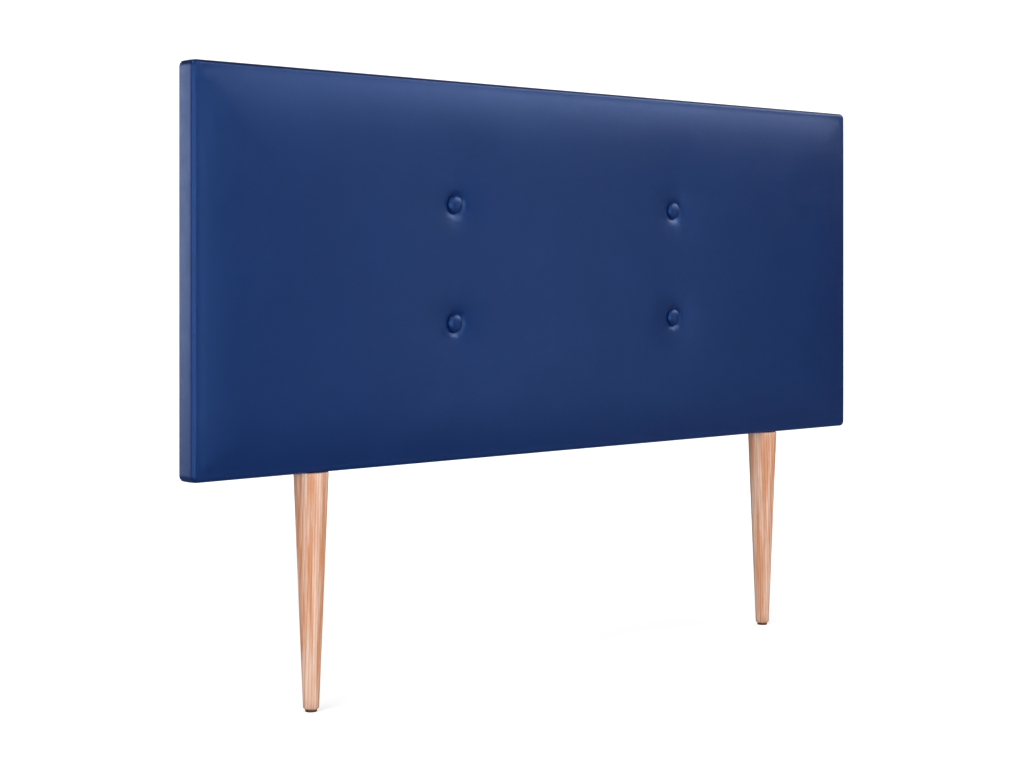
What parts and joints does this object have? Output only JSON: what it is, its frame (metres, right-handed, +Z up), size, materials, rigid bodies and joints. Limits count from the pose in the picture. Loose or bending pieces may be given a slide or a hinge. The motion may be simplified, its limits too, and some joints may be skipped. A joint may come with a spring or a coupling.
{
  "type": "upholstered headboard",
  "caption": "Wide padded headboard panel with covered-button tufting over a wooden frame, standing on round tapered wooden legs with foot glides.",
  "frame": {"origin": "on the floor at mid-width, in the plane of the two leg axes", "axes": "+X to the right seen from the front, +Y to the back, +Z up; the padded front faces -Y"},
  "size_m": [1.45, 0.05, 0.91],
  "materials": {
    "leatherette": "satin",
    "foam": "matte",
    "hardboard": "matte",
    "back_cloth": "matte",
    "frame_wood": "matte",
    "dowel_wood": "matte",
    "leg_wood": "satin",
    "glide_plastic": "satin",
    "zinc_steel": "satin",
    "insert_brass": "satin",
    "twine": "matte"
  },
  "bodies": {
    "root": {"leatherette_cover": "leatherette", "foam_pad": "foam", "facing_board": "hardboard", "back_cloth": "back_cloth", "frame_bottom_rail": "frame_wood", "frame_top_rail": "frame_wood", "frame_left_stile": "frame_wood", "frame_centre_upright": "frame_wood", "frame_right_stile": "frame_wood", "dowel_left_stile_bottom_1": "dowel_wood", "dowel_left_stile_bottom_2": "dowel_wood", "dowel_left_stile_top_1": "dowel_wood", "dowel_left_stile_top_2": "dowel_wood", "dowel_centre_upright_bottom_1": "dowel_wood", "dowel_centre_upright_bottom_2": "dowel_wood", "dowel_centre_upright_top_1": "dowel_wood", "dowel_centre_upright_top_2": "dowel_wood", "dowel_right_stile_bottom_1": "dowel_wood", "dowel_right_stile_bottom_2": "dowel_wood", "dowel_right_stile_top_1": "dowel_wood", "dowel_right_stile_top_2": "dowel_wood", "leg_left": "leg_wood", "foot_glide_left": "glide_plastic", "hanger_bolt_left": "zinc_steel", "threaded_insert_left": "insert_brass", "leg_right": "leg_wood", "foot_glide_right": "glide_plastic", "hanger_bolt_right": "zinc_steel", "threaded_insert_right": "insert_brass", "button_lower_left": "leatherette", "button_plate_lower_left": "zinc_steel", "twine_tie_lower_left": "twine", "tie_peg_lower_left": "dowel_wood", "button_lower_right": "leatherette", "button_plate_lower_right": "zinc_steel", "twine_tie_lower_right": "twine", "tie_peg_lower_right": "dowel_wood", "button_upper_left": "leatherette", "button_plate_upper_left": "zinc_steel", "twine_tie_upper_left": "twine", "tie_peg_upper_left": "dowel_wood", "button_upper_right": "leatherette", "button_plate_upper_right": "zinc_steel", "twine_tie_upper_right": "twine", "tie_peg_upper_right": "dowel_wood"}
  },
  "joints": []
}
